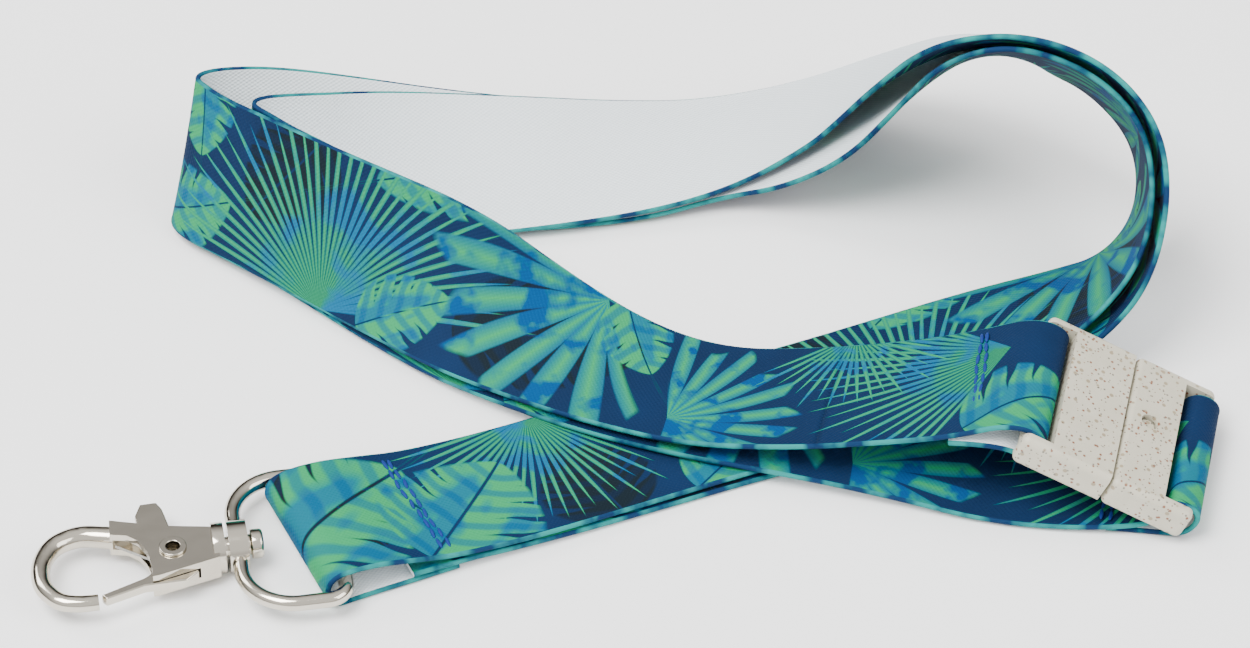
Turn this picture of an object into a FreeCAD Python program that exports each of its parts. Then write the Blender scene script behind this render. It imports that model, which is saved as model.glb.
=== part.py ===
"""Neck lanyard: two printed straps, a swivel lobster hook on a D-ring and a breakaway buckle.

Millimetres, +Z up, lying on a table.  The origin is the middle of the whole object's footprint,
at table height.
"""
import FreeCAD
import Part
import math
import os
from FreeCAD import Vector, Rotation, Placement

doc = FreeCAD.newDocument("lanyard")
sheet = doc.addObject("Spreadsheet::Sheet", "sizes")
cell_row = 0


def size(alias, value):
    """Put one driving dimension in the sheet and return its value."""
    global cell_row
    cell_row += 1
    sheet.set(f"A{cell_row}", alias)
    sheet.set(f"B{cell_row}", str(value))
    sheet.setAlias(f"B{cell_row}", alias)
    return value


# ---------------------------------------------------------------- driving dimensions
# webbing
strap_width = size("strap_width", 20.0)
strap_thick = size("strap_thick", 0.9)
# D-ring, measured from the swivel boss along the swivel axis
ring_wire = size("ring_wire", 1.9)
ring_side_gap = size("ring_side_gap", 0.2)
ring_reach = size("ring_reach", 12.3)
ring_corner = size("ring_corner", 2.4)
ring_shoulder = size("ring_shoulder", 6.3)
boss_radius = size("boss_radius", 3.1)
boss_length = size("boss_length", 2.3)
# swivel
post_radius = size("post_radius", 1.25)
swivel_clearance = size("swivel_clearance", 0.05)
swivel_end_gap = size("swivel_end_gap", 0.45)
post_seat = size("post_seat", 1.0)
head_radius = size("head_radius", 1.8)
head_length = size("head_length", 1.5)
collar_radius = size("collar_radius", 3.1)
collar_length = size("collar_length", 1.4)
# hook body
hook_thick = size("hook_thick", 3.3)
hook_root = size("hook_root", 2.9)
hook_tip = size("hook_tip", 1.95)
hook_slot = size("hook_slot", 1.5)
rivet_radius = size("rivet_radius", 1.15)
rivet_bore = size("rivet_bore", 0.85)
rivet_flange = size("rivet_flange", 1.65)
rivet_flange_thick = size("rivet_flange_thick", 0.35)
lever_thick = size("lever_thick", 1.3)
lever_clearance = size("lever_clearance", 0.05)
spring_wire = size("spring_wire", 0.32)
spring_recess = size("spring_recess", 0.85)
# buckle
buckle_thick = size("buckle_thick", 4.4)
buckle_arm = size("buckle_arm", 1.4)
slot_side_gap = size("slot_side_gap", 0.3)
plug_length = size("plug_length", 11.7)
parting_gap = size("parting_gap", 0.25)
socket_length = size("socket_length", 11.1)
bar_radius = size("bar_radius", 1.1)
plug_slot = size("plug_slot", 1.5)
socket_slot = size("socket_slot", 1.9)
tongue_length = size("tongue_length", 6.0)
tongue_width = size("tongue_width", 14.0)
tongue_thick = size("tongue_thick", 1.7)
tongue_clearance = size("tongue_clearance", 0.1)
nub_radius = size("nub_radius", 0.95)
nub_height = size("nub_height", 0.6)
buckle_round = size("buckle_round", 0.9)
# sewing
thread_thick = size("thread_thick", 0.3)
stitch_length = size("stitch_length", 1.5)
stitch_pitch = size("stitch_pitch", 1.9)
stitch_count = size("stitch_count", 9)
stitch_row_gap = size("stitch_row_gap", 0.9)
doc.recompute()

# ---------------------------------------------------------------- where the hardware lies
swivel_place = Placement(Vector(-47.7, -38.0, boss_radius), Rotation(Vector(0, 0, 1), 9.7))
rivet_spot = Vector(-7.4, -0.8, 0)
slot_left, slot_right = -11.9, -4.45
leg_slot_left, leg_slot_top = -14.3, 3.4
buckle_pitch = 24.0
buckle_heading = -11.0
buckle_turn = Rotation(Vector(0, 0, 1), buckle_heading) * Rotation(Vector(0, 1, 0), buckle_pitch)
buckle_place = Placement(Vector(58.5, -21.6, 7.5), buckle_turn)

# ---------------------------------------------------------------- strap routes
# One station per line: the middle of the strap, then where its left edge points, as a bearing
# (degrees from +X) and a rise above the table (degrees).
upper_route = [
    (-25.0, -29.8, 0.5, 112, 0),
    (-31.4, -32.8, 0.5, 113, 0),
    (-36.0, -34.9, 0.5, 113, 0),
    (-40.2, -36.9, 0.5, 113, 0),
    (-40.2, -36.9, 4.9, 113, 0),
    (-35.0, -34.5, 5.0, 113, 0),
    (-29.6, -32.1, 3.7, 112, 0),
    (-24.8, -30.0, 2.5, 112, 0),
    (-16.0, -26.4, 2.0, 112, 0),
    (-5.0, -21.2, 1.6, 114, 0),
    (9.0, -14.8, 1.5, 114, 0),
    (23.0, -9.2, 1.5, 114, 0),
    (35.0, -3.8, 1.9, 114, -2),
    (45.5, 1.0, 3.4, 114, -11),
    (54.5, 4.2, 6.1, 112, -25),
    (61.0, 7.5, 9.6, 100, -37),
    (64.0, 13.5, 14.6, 90, -41),
    (63.0, 20.0, 19.8, 90, -42),
    (57.0, 25.0, 23.8, 90, -43),
    (49.0, 28.3, 25.2, 90, -43),
    (43.0, 30.5, 23.9, 90, -38),
    (37.0, 32.3, 18.0, 90, -33),
    (30.0, 34.0, 10.2, 90, -20),
    (21.5, 35.9, 4.6, 90, -9),
    (11.0, 37.8, 1.9, 90, -2),
    (0.0, 35.0, 2.1, 88, 6),
    (-12.0, 32.8, 3.7, 85, 16),
    (-25.0, 32.0, 5.1, 81, 25),
    (-37.0, 31.2, 7.0, 73, 37),
    (-47.0, 30.5, 8.9, 62, 52),
    (-56.8, 30.2, 10.2, 38, 64),
    (-55.9, 25.4, 10.3, 38, 65),
    (-47.3, 19.1, 10.4, 49, 65),
    (-35.3, 10.6, 10.1, 56, 59),
    (-24.1, 4.3, 8.7, 63, 41),
    (-13.0, -1.4, 5.2, 72, 15),
    (-2.0, -7.6, 3.8, 84, 1),
    (9.0, -12.0, 3.7, 90, -5),
    (21.0, -14.6, 5.8, 93, -6),
    (32.0, -16.5, 8.5, 92, -6),
    (40.0, -17.8, 10.9, 85, -3),
    (47.2, -19.4, 14.6, 79, 0),
    (51.5, -20.3, 12.8, 79, 0),
    (49.9, -19.9, 9.2, 79, 0),
    (45.4, -19.1, 11.0, 79, 0),
    (40.0, -17.9, 9.8, 83, -3),
]
lower_route = [
    (-30.2, -32.4, 1.5, 112, 0),
    (-24.8, -30.0, 1.5, 112, 0),
    (-16.0, -26.4, 1.0, 112, 0),
    (-5.0, -21.5, 0.6, 114, 0),
    (9.0, -15.3, 0.5, 114, 0),
    (23.0, -9.8, 0.55, 114, 0),
    (35.0, -4.8, 0.9, 114, -1),
    (46.0, -0.5, 2.4, 112, -10),
    (56.0, 2.0, 4.8, 105, -24),
    (62.5, 4.5, 8.6, 95, -36),
    (65.8, 11.5, 15.2, 90, -42),
    (64.8, 18.0, 21.0, 90, -43),
    (59.0, 24.0, 25.3, 90, -44),
    (51.0, 27.8, 26.8, 90, -44),
    (43.0, 32.0, 24.2, 90, -41),
    (35.5, 36.5, 17.4, 90, -33),
    (29.5, 39.5, 11.0, 90, -25),
    (22.0, 39.6, 6.2, 90, -14),
    (11.0, 37.4, 3.2, 90, -3),
    (0.0, 34.8, 3.3, 88, 6),
    (-12.0, 31.8, 4.9, 85, 16),
    (-24.0, 30.0, 5.9, 81, 26),
    (-34.0, 27.0, 7.6, 73, 38),
    (-41.0, 24.5, 9.3, 64, 52),
    (-49.2, 24.6, 10.2, 45, 64),
    (-47.5, 20.5, 9.9, 50, 64),
    (-41.6, 16.1, 9.4, 51, 61),
    (-33.6, 10.1, 8.8, 56, 56),
    (-23.7, 4.1, 7.0, 63, 41),
    (-12.9, -1.9, 4.0, 73, 15),
    (-2.0, -8.2, 2.7, 84, 2),
    (9.0, -12.2, 2.6, 84, 0),
    (21.0, -15.0, 2.6, 82, 2),
    (33.0, -18.0, 2.6, 80, 6),
    (45.0, -21.7, 2.4, 79, 11),
    (56.0, -22.9, 1.6, 79, 4),
    (64.6, -23.1, 1.6, 79, 0),
    (66.4, -23.5, 6.2, 79, 0),
    (70.1, -24.2, 4.5, 79, 0),
    (68.4, -23.8, 0.6, 79, 0),
    (63.5, -22.9, 0.5, 81, 0),
    (58.0, -22.3, 0.5, 84, 0),
]


# ---------------------------------------------------------------- small helpers
def add(kind, name, **bindings):
    """Add a parametric object and bind its properties to sheet expressions."""
    obj = doc.addObject(kind, name)
    for prop, expression in bindings.items():
        obj.setExpression(prop, expression)
    return obj


def fuse(name, parts):
    obj = doc.addObject("Part::MultiFuse", name)
    obj.Shapes = parts
    obj.Refine = True
    return obj


def cut(name, base, tool):
    obj = doc.addObject("Part::Cut", name)
    obj.Base = base
    obj.Tool = tool
    obj.Refine = True
    return obj


def placed(name, source, place, parts):
    """Finish a sub-part: label it, place it and keep it for export."""
    source.Label = name
    source.Placement = place.multiply(source.Placement)
    parts.append(source)
    return source


def across(bearing, rise):
    """Unit vector towards a strap's left edge."""
    b, r = math.radians(bearing), math.radians(rise)
    return Vector(math.cos(r) * math.cos(b), math.cos(r) * math.sin(b), math.sin(r))


def rounded_stations(points):
    """Straight runs joined by tangent arcs, as (middle, width direction, tangent) frames.

    Each arc's radius is 0.45 of the shorter run over the tangent of half the turn.
    """
    spots = [Vector(*p[:3]) for p in points]
    edges = [across(p[3], p[4]) for p in points]
    frames = [(spots[0], edges[0], (spots[1] - spots[0]).normalize())]
    radii = []
    for i in range(1, len(spots) - 1):
        back, ahead = spots[i] - spots[i - 1], spots[i + 1] - spots[i]
        trim = 0.45 * min(back.Length, ahead.Length)
        d_in, d_out = Vector(back).normalize(), Vector(ahead).normalize()
        turn = d_in.getAngle(d_out)
        radii.append(trim / max(math.tan(turn / 2), 1e-6))
        steps = 1 + int(math.degrees(turn) / 16.0)
        start, stop = spots[i] - d_in * trim, spots[i] + d_out * trim
        w_in = edges[i] + (edges[i - 1] - edges[i]) * (trim / back.Length)
        w_out = edges[i] + (edges[i + 1] - edges[i]) * (trim / ahead.Length)
        for k in range(steps + 1):
            s = k / steps
            if turn < 1e-4:
                spot, tangent = start + (stop - start) * s, d_in
            else:
                a, b = math.sin((1 - s) * turn) / math.sin(turn), math.sin(s * turn) / math.sin(turn)
                tangent = d_in * a + d_out * b
                normal = (d_out - d_in * math.cos(turn)).normalize()
                spot = start + d_in * (radii[-1] * math.sin(s * turn))
                spot = spot + normal * (radii[-1] * (1 - math.cos(s * turn)))
            edge = w_in * (1 - s) + w_out * s
            frames.append((spot, edge, tangent))
    frames.append((spots[-1], edges[-1], (spots[-1] - spots[-2]).normalize()))
    square = []
    for spot, edge, tangent in frames:
        t = Vector(tangent).normalize()
        w = (edge - t * edge.dot(t)).normalize()
        square.append((spot, w, t))
    return square, radii


def ribbon(frames, width, thick):
    """Closed solid of a flat strap: a rectangle carried from frame to frame by ruled faces."""
    sections = []
    for spot, w, t in frames:
        up = t.cross(w)
        corners = [
            spot + w * (width * sx / 2) + up * (thick * sz / 2)
            for sx, sz in ((1, 1), (-1, 1), (-1, -1), (1, -1))
        ]
        sections.append(Part.makePolygon(corners + corners[:1]))
    return Part.makeLoft(sections, True, True)


def bent_wire(points, share=0.45):
    """Planar wire of straight runs and tangent arcs through hand-chosen corner points."""
    spots = [Vector(*p) for p in points]
    edges, last = [], spots[0]
    for i in range(1, len(spots) - 1):
        back, ahead = spots[i] - spots[i - 1], spots[i + 1] - spots[i]
        trim = share * min(back.Length, ahead.Length)
        d_in, d_out = Vector(back).normalize(), Vector(ahead).normalize()
        turn = d_in.getAngle(d_out)
        radius = trim / math.tan(turn / 2)
        start, stop = spots[i] - d_in * trim, spots[i] + d_out * trim
        bisector = (d_out - d_in).normalize()
        centre = spots[i] + bisector * (radius / math.cos(turn / 2))
        middle = centre - bisector * radius
        if (start - last).Length > 1e-6:
            edges.append(Part.LineSegment(last, start).toShape())
        edges.append(Part.Arc(start, middle, stop).toShape())
        last = stop
    edges.append(Part.LineSegment(last, spots[-1]).toShape())
    return Part.Wire(edges)


def sheet_value(alias):
    return float(sheet.get(alias))


# ---------------------------------------------------------------- straps and sewing
def strap(name, route, parts):
    frames, radii = rounded_stations(route)
    obj = doc.addObject("Part::Feature", name)
    obj.Shape = ribbon(frames, sheet_value("strap_width"), sheet_value("strap_thick"))
    parts.append(obj)
    run = sum((b[0] - a[0]).Length for a, b in zip(frames, frames[1:]))
    print(name, "length", round(run, 1), "radii", [round(r, 1) for r in radii])
    expected = run * sheet_value("strap_width") * sheet_value("strap_thick")
    print(name, "volume over section times length", round(obj.Shape.Volume / expected, 3))
    return frames


def seam(name, spot, bearing, rise, normal_rise, slant, parts):
    """Two rows of stitches across a strap, lying on its face at one spot."""
    w = across(bearing, rise)
    t = Vector(w.y, -w.x, 0).normalize()
    t = (t + Vector(0, 0, math.tan(math.radians(normal_rise)))).normalize()
    w = (w - t * w.dot(t)).normalize()
    up = t.cross(w)
    turn = Rotation(w, t * -1, up, "ZXY")
    thick, long = sheet_value("thread_thick"), sheet_value("stitch_length")
    pitch, gap = sheet_value("stitch_pitch"), sheet_value("stitch_row_gap")
    count = int(sheet_value("stitch_count"))
    lift = sheet_value("strap_thick") / 2
    stitches = []
    for row in (-0.5, 0.5):
        for k in range(count):
            along = (k - (count - 1) / 2) * pitch
            box = Part.makeBox(long, thick, thick, Vector(-long / 2, -thick / 2, lift))
            box.Placement = Placement(
                Vector(*spot) + w * along + t * (row * gap + slant * along), turn
            )
            stitches.append(box)
    obj = doc.addObject("Part::Feature", name)
    obj.Shape = Part.makeCompound(stitches)
    parts.append(obj)
    return obj


# ---------------------------------------------------------------- D-ring with its boss
def ring_loop():
    """Closed D of round wire: a straight bar at full reach, two sides and round shoulders."""
    half = sheet_value("strap_width") / 2 + sheet_value("ring_side_gap") + sheet_value("ring_wire") / 2
    reach, yoke = sheet_value("ring_reach"), sheet_value("boss_length") / 6
    corner, shoulder = sheet_value("ring_corner"), sheet_value("ring_shoulder")
    slant = math.sqrt(0.5)

    def rounded(x, y, radius, turn_x, turn_y):
        """Arc round one corner of the D; turn_x and turn_y point from its centre to the corner."""
        centre = Vector(x - turn_x * radius, y - turn_y * radius, 0)
        on_x = centre + Vector(turn_x * radius, 0, 0)
        on_y = centre + Vector(0, turn_y * radius, 0)
        middle = centre + Vector(turn_x, turn_y, 0) * (slant * radius)
        return on_x, middle, on_y

    bar_a, far_a, side_a = rounded(reach, half, corner, 1, 1)
    neck_b, far_b, side_b = rounded(yoke, half, shoulder, -1, 1)
    bar_d, far_d, side_d = rounded(reach, -half, corner, 1, -1)
    neck_c, far_c, side_c = rounded(yoke, -half, shoulder, -1, -1)
    edges = [
        Part.LineSegment(bar_d, bar_a).toShape(),
        Part.Arc(bar_a, far_a, side_a).toShape(),
        Part.LineSegment(side_a, side_b).toShape(),
        Part.Arc(side_b, far_b, neck_b).toShape(),
        Part.LineSegment(neck_b, neck_c).toShape(),
        Part.Arc(neck_c, far_c, side_c).toShape(),
        Part.LineSegment(side_c, side_d).toShape(),
        Part.Arc(side_d, far_d, bar_d).toShape(),
    ]
    return Part.Wire(edges)


def round_pipe(wire, diameter, end_diameter=None):
    """Solid of round wire along a path, tapering to end_diameter where one is given."""
    first, last = wire.Edges[0], wire.Edges[-1]
    profiles = [Part.Circle(first.valueAt(first.FirstParameter),
                            first.tangentAt(first.FirstParameter), diameter / 2)]
    if end_diameter:
        profiles.append(Part.Circle(last.valueAt(last.LastParameter),
                                    last.tangentAt(last.LastParameter), end_diameter / 2))
    return wire.makePipeShell([Part.Wire([p.toShape()]) for p in profiles], True, True)


def d_ring(parts):
    loop = doc.addObject("Part::Feature", "ring_loop")
    loop.Shape = round_pipe(ring_loop(), sheet_value("ring_wire"))
    boss = add("Part::Cylinder", "ring_boss", Radius="sizes.boss_radius", Height="sizes.boss_length")
    boss.setExpression("Placement.Base.x", "-sizes.boss_length / 3")
    boss.Placement.Rotation = Rotation(Vector(0, 1, 0), 90)
    bore = add(
        "Part::Cylinder",
        "ring_bore",
        Radius="sizes.post_radius + sizes.swivel_clearance",
        Height="sizes.boss_length * 3",
    )
    bore.setExpression("Placement.Base.x", "-sizes.boss_length * 1.5")
    bore.Placement.Rotation = Rotation(Vector(0, 1, 0), 90)
    ring = cut("d_ring_solid", fuse("ring_pieces", [loop, boss]), bore)
    return placed("d_ring", ring, swivel_place, parts)


# ---------------------------------------------------------------- hook
collar_face = "-sizes.boss_length / 3 - sizes.swivel_end_gap"


def swivel_post(parts):
    shank = add(
        "Part::Cylinder",
        "post_shank",
        Radius="sizes.post_radius",
        Height="sizes.post_seat + sizes.boss_length + 2 * sizes.swivel_end_gap",
    )
    shank.setExpression("Placement.Base.x", f"{collar_face} - sizes.post_seat")
    shank.Placement.Rotation = Rotation(Vector(0, 1, 0), 90)
    head = add("Part::Cylinder", "post_head", Radius="sizes.head_radius", Height="sizes.head_length")
    head.setExpression("Placement.Base.x", "sizes.boss_length * 2 / 3 + sizes.swivel_end_gap")
    head.Placement.Rotation = Rotation(Vector(0, 1, 0), 90)
    post = fuse("post_solid", [shank, head])
    doc.recompute()
    rounded = doc.addObject("Part::Fillet", "post_rounded")
    rounded.Base = post
    far = max(v.X for v in post.Shape.Vertexes)
    rims = [
        (i + 1, 0.5, 0.5)
        for i, e in enumerate(post.Shape.Edges)
        if abs(e.BoundBox.XMin - far) < 0.01 and abs(e.BoundBox.XMax - far) < 0.01
    ]
    rounded.Edges = rims
    return placed("swivel_post", rounded, swivel_place, parts)


hook_path = [
    (-10.8, 2.9, 0),
    (-14.4, 3.9, 0),
    (-18.1, 4.9, 0),
    (-21.5, 3.6, 0),
    (-23.3, 0.3, 0),
    (-23.4, -3.5, 0),
    (-21.6, -6.3, 0),
    (-19.3, -7.0, 0),
    (-17.0, -7.0, 0),
]
plate_outline = [
    (-2.0, 2.0),
    (-8.1, 3.2),
    (-14.4, 5.2),
    (-14.6, 2.7),
    (-12.6, 2.2),
    (-11.4, 1.1),
    (-10.6, -0.6),
    (-10.2, -2.4),
    (-10.3, -5.4),
    (-9.5, -5.3),
    (-2.0, -3.3),
]
lever_outline = [
    (-16.05, -7.25),
    (-16.6, -6.45),
    (-11.3, -4.4),
    (-10.4, -3.8),
    (-9.9, -1.5),
    (-10.2, 0.8),
    (-11.0, 3.0),
    (-11.2, 6.6),
    (-10.4, 8.5),
    (-8.4, 8.6),
    (-7.8, 7.3),
    (-7.2, 3.6),
    (-5.1, 0.6),
    (-4.7, -1.2),
    (-4.7, -4.3),
    (-6.3, -5.6),
    (-11.3, -5.7),
]


def outline_body(name, points, low, high):
    """A PartDesign body: a closed outline sketched on the XY plane and padded between two heights."""
    body = doc.addObject("PartDesign::Body", name)
    sketch = body.newObject("Sketcher::SketchObject", name + "_outline")
    plane = [f for f in body.Origin.OriginFeatures if f.Role == "XY_Plane"][0]
    sketch.AttachmentSupport = [(plane, "")]
    sketch.MapMode = "FlatFace"
    for a, b in zip(points, points[1:] + points[:1]):
        sketch.addGeometry(Part.LineSegment(Vector(a[0], a[1], 0), Vector(b[0], b[1], 0)), False)
    pad = body.newObject("PartDesign::Pad", name + "_pad")
    pad.Profile = sketch
    pad.setExpression("Length", f"{high} - ({low})")
    sketch.setExpression("AttachmentOffset.Base.z", low)
    doc.recompute()
    return body


def hook_body(parts):
    half = "sizes.hook_thick / 2"
    plate = outline_body("hook_plate", plate_outline, f"-{half}", half)
    slot = add("Part::Box", "lever_slot", Height="sizes.hook_slot")
    slot.Length = slot_right - slot_left
    slot.Width = 40
    slot.Placement.Base = Vector(slot_left, -20, 0)
    slot.setExpression("Placement.Base.z", "-sizes.hook_slot / 2")
    leg_slot = add("Part::Box", "leg_slot", Height="sizes.hook_slot")
    leg_slot.Length = slot_left - leg_slot_left
    leg_slot.Width = leg_slot_top + 20
    leg_slot.Placement.Base = Vector(leg_slot_left, -20, 0)
    leg_slot.setExpression("Placement.Base.z", "-sizes.hook_slot / 2")
    collar = add("Part::Cylinder", "hook_collar", Radius="sizes.collar_radius", Height="sizes.collar_length")
    collar.setExpression("Placement.Base.x", f"{collar_face} - sizes.collar_length")
    collar.Placement.Rotation = Rotation(Vector(0, 1, 0), 90)
    rod = doc.addObject("Part::Feature", "hook_rod")
    rod.Shape = round_pipe(bent_wire(hook_path), sheet_value("hook_root"), sheet_value("hook_tip"))
    hole = add("Part::Cylinder", "rivet_hole", Radius="sizes.rivet_radius", Height="sizes.hook_thick * 2")
    hole.Placement.Base = Vector(rivet_spot.x, rivet_spot.y, 0)
    hole.setExpression("Placement.Base.z", "-sizes.hook_thick")
    seat = add("Part::Cylinder", "post_seat_hole", Radius="sizes.post_radius", Height="sizes.post_seat * 2")
    seat.setExpression("Placement.Base.x", f"{collar_face} - sizes.post_seat")
    seat.Placement.Rotation = Rotation(Vector(0, 1, 0), 90)
    whole = fuse("hook_whole", [plate, rod, collar])
    body = cut("hook_solid", whole, fuse("hook_cuts", [slot, leg_slot, hole, seat]))
    return placed("hook_body", body, swivel_place, parts)


def gate_lever(parts):
    half = "sizes.lever_thick / 2"
    blank = outline_body("lever_blank", lever_outline, f"-{half}", half)
    hole = add(
        "Part::Cylinder",
        "lever_hole",
        Radius="sizes.rivet_radius + sizes.lever_clearance",
        Height="sizes.lever_thick * 3",
    )
    hole.Placement.Base = Vector(rivet_spot.x, rivet_spot.y, -4)
    recess = add(
        "Part::Cylinder",
        "spring_pocket",
        Radius="sizes.rivet_radius + 3 * sizes.spring_wire",
        Height="sizes.spring_recess",
    )
    recess.Placement.Base = Vector(rivet_spot.x, rivet_spot.y, 0)
    recess.setExpression("Placement.Base.z", "sizes.lever_thick / 2 - sizes.spring_recess")
    sweep = add("Part::Box", "spring_leg_room", Height="sizes.spring_recess")
    sweep.Length = 5
    sweep.setExpression("Width", "1.6 * sizes.rivet_radius + 4 * sizes.spring_wire")
    sweep.Placement.Base = Vector(rivet_spot.x - 5, 0, 0)
    sweep.setExpression("Placement.Base.y", f"{rivet_spot.y} - sizes.rivet_radius - 3 * sizes.spring_wire")
    sweep.setExpression("Placement.Base.z", "sizes.lever_thick / 2 - sizes.spring_recess")
    lever = cut("lever_bored", blank, fuse("lever_cuts", [hole, recess, sweep]))
    return placed("gate_lever", lever, swivel_place, parts)


def gate_rivet(parts):
    tube = add("Part::Cylinder", "rivet_tube", Radius="sizes.rivet_radius", Height="sizes.hook_thick")
    tube.setExpression("Placement.Base.z", "-sizes.hook_thick / 2")
    pieces = [tube]
    for side in (1, -1):
        flange = add(
            "Part::Cylinder",
            "rivet_flange_disc",
            Radius="sizes.rivet_flange",
            Height="sizes.rivet_flange_thick",
        )
        low = "sizes.hook_thick / 2" if side > 0 else "-sizes.hook_thick / 2 - sizes.rivet_flange_thick"
        flange.setExpression("Placement.Base.z", low)
        pieces.append(flange)
    bore = add("Part::Cylinder", "rivet_bore_tool", Radius="sizes.rivet_bore", Height="sizes.hook_thick * 3")
    bore.setExpression("Placement.Base.z", "-sizes.hook_thick * 1.5")
    rivet = cut("rivet_solid", fuse("rivet_outer", pieces), bore)
    rivet.Placement = Placement(rivet_spot, Rotation())
    return placed("gate_rivet", rivet, swivel_place, parts)


def gate_spring(parts):
    """Two turns of wire round the rivet, in the lever's pocket, with one leg in the hook's slot."""
    wire = sheet_value("spring_wire")
    radius = sheet_value("rivet_radius") + 1.6 * wire
    low = sheet_value("lever_thick") / 2 - sheet_value("spring_recess") + 0.55 * wire
    turns = [
        Part.makeTorus(radius, wire / 2, Vector(0, 0, low + k * 1.02 * wire), Vector(0, 0, 1))
        for k in range(2)
    ]
    riser = Part.makeCylinder(wire / 2, 1.02 * wire, Vector(radius, 0, low), Vector(0, 0, 1))
    leg_end = Vector(leg_slot_left + wire, leg_slot_top - 1.1, 0) - rivet_spot
    bearing = math.atan2(leg_end.y, leg_end.x) + math.acos(radius / leg_end.Length)
    start = Vector(math.cos(bearing), math.sin(bearing), 0) * (radius - wire / 4)
    along = leg_end - start
    leg = Part.makeCylinder(wire / 2, along.Length, start + Vector(0, 0, low), along)
    obj = doc.addObject("Part::Feature", "gate_spring")
    obj.Shape = turns[0].fuse(riser).fuse(turns[1]).fuse(leg)
    obj.Placement = Placement(rivet_spot, Rotation())
    return placed("gate_spring", obj, swivel_place, parts)


# ---------------------------------------------------------------- buckle
outer_width = "(sizes.strap_width + 2 * sizes.slot_side_gap + 2 * sizes.buckle_arm)"
slot_width = "(sizes.strap_width + 2 * sizes.slot_side_gap)"


def block(name, x0, x1, width, low, high):
    """A box from x0 to x1, centred across, between two heights: all sheet expressions."""
    box = add("Part::Box", name, Length=f"({x1}) - ({x0})", Width=width, Height=f"({high}) - ({low})")
    box.setExpression("Placement.Base.x", x0)
    box.setExpression("Placement.Base.y", f"-({width}) / 2")
    box.setExpression("Placement.Base.z", low)
    return box


def strap_bar(name, x):
    bar = add("Part::Cylinder", name, Radius="sizes.bar_radius", Height=outer_width + " - sizes.buckle_arm")
    bar.setExpression("Placement.Base.x", x)
    bar.setExpression("Placement.Base.y", f"-({outer_width} - sizes.buckle_arm) / 2")
    bar.Placement.Rotation = Rotation(Vector(1, 0, 0), -90)
    return bar


def rounded_block(name, x0, x1):
    """Buckle half's outer block with its long and end edges rounded, and square at the parting."""
    half = "sizes.buckle_thick / 2"
    box = block(name, x0, x1, outer_width, f"-{half}", half)
    doc.recompute()
    parting = 0.0
    rims = [
        (i + 1, buckle_round, buckle_round)
        for i, e in enumerate(box.Shape.Edges)
        if abs(e.CenterOfMass.x - parting) > 0.01
    ]
    rounded = doc.addObject("Part::Fillet", name + "_rounded")
    rounded.Base = box
    rounded.Edges = rims
    doc.recompute()
    return rounded


def buckle_plug(parts):
    half = "sizes.buckle_thick / 2"
    end = "-sizes.plug_length"
    shell = rounded_block("plug_block", end, "0")
    mouth = block("plug_mouth", f"{end} - 1", f"{end} + 2 * sizes.bar_radius + sizes.plug_slot",
                  slot_width, "-10", "10")
    opened = cut("plug_opened", shell, mouth)
    bar = strap_bar("plug_bar", f"{end} + sizes.bar_radius")
    tongue = block("plug_tongue", "-1", "sizes.tongue_length", "sizes.tongue_width",
                   "-sizes.tongue_thick / 2", "sizes.tongue_thick / 2")
    nub = add("Part::Cylinder", "plug_nub", Radius="sizes.nub_radius",
              Height="sizes.nub_height + sizes.tongue_thick / 2")
    nub.setExpression("Placement.Base.x", "sizes.tongue_length * 0.55")
    nub.setExpression("Placement.Base.y", "sizes.nub_radius")
    plug = fuse("plug_solid", [opened, bar, tongue, nub])
    return placed("buckle_plug", plug, buckle_place, parts)


def buckle_socket(parts):
    end = "sizes.socket_length"
    shell = rounded_block("socket_block", "sizes.parting_gap", end)
    mouth = block("socket_mouth", f"{end} - 2 * sizes.bar_radius - sizes.socket_slot", f"{end} + 1",
                  slot_width, "-10", "10")
    room = "sizes.tongue_thick / 2 + sizes.tongue_clearance"
    pocket = block("socket_pocket", "-1", "sizes.tongue_length + 2 * sizes.tongue_clearance",
                   "sizes.tongue_width + 2 * sizes.tongue_clearance", f"-({room})", room)
    groove = block("nub_groove", "-1", "sizes.tongue_length * 0.55 + sizes.nub_radius",
                   "2 * sizes.nub_radius + 4 * sizes.tongue_clearance", "0",
                   "sizes.tongue_thick / 2 + sizes.nub_height + sizes.tongue_clearance")
    groove.setExpression("Placement.Base.y", "-2 * sizes.tongue_clearance")
    window = add("Part::Cylinder", "nub_window",
                 Radius="sizes.nub_radius + 2 * sizes.tongue_clearance", Height="sizes.buckle_thick")
    window.setExpression("Placement.Base.x", "sizes.tongue_length * 0.55")
    window.setExpression("Placement.Base.y", "sizes.nub_radius")
    hollow = cut("socket_hollow", shell, fuse("socket_cuts", [mouth, pocket, groove, window]))
    bar = strap_bar("socket_bar", f"{end} - sizes.bar_radius")
    socket = fuse("socket_solid", [hollow, bar])
    return placed("buckle_socket", socket, buckle_place, parts)


# ---------------------------------------------------------------- build, check and write
sub_parts = []
upper_frames = strap("strap_upper", upper_route, sub_parts)
lower_frames = strap("strap_lower", lower_route, sub_parts)
seam("stitching_ring_end", (-26.3, -30.7, 2.9), 112, 0, -12, 0.0, sub_parts)
seam("stitching_plug_end", (42.0, -18.2, 11.9), 83, 0, 24, 0.0, sub_parts)
seam("stitching_socket_end", (58.4, -23.7, 1.55), 79, 0, 0, 0.0, sub_parts)
d_ring(sub_parts)
swivel_post(sub_parts)
hook_body(sub_parts)
gate_lever(sub_parts)
gate_rivet(sub_parts)
gate_spring(sub_parts)
buckle_plug(sub_parts)
buckle_socket(sub_parts)
doc.recompute()

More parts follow.
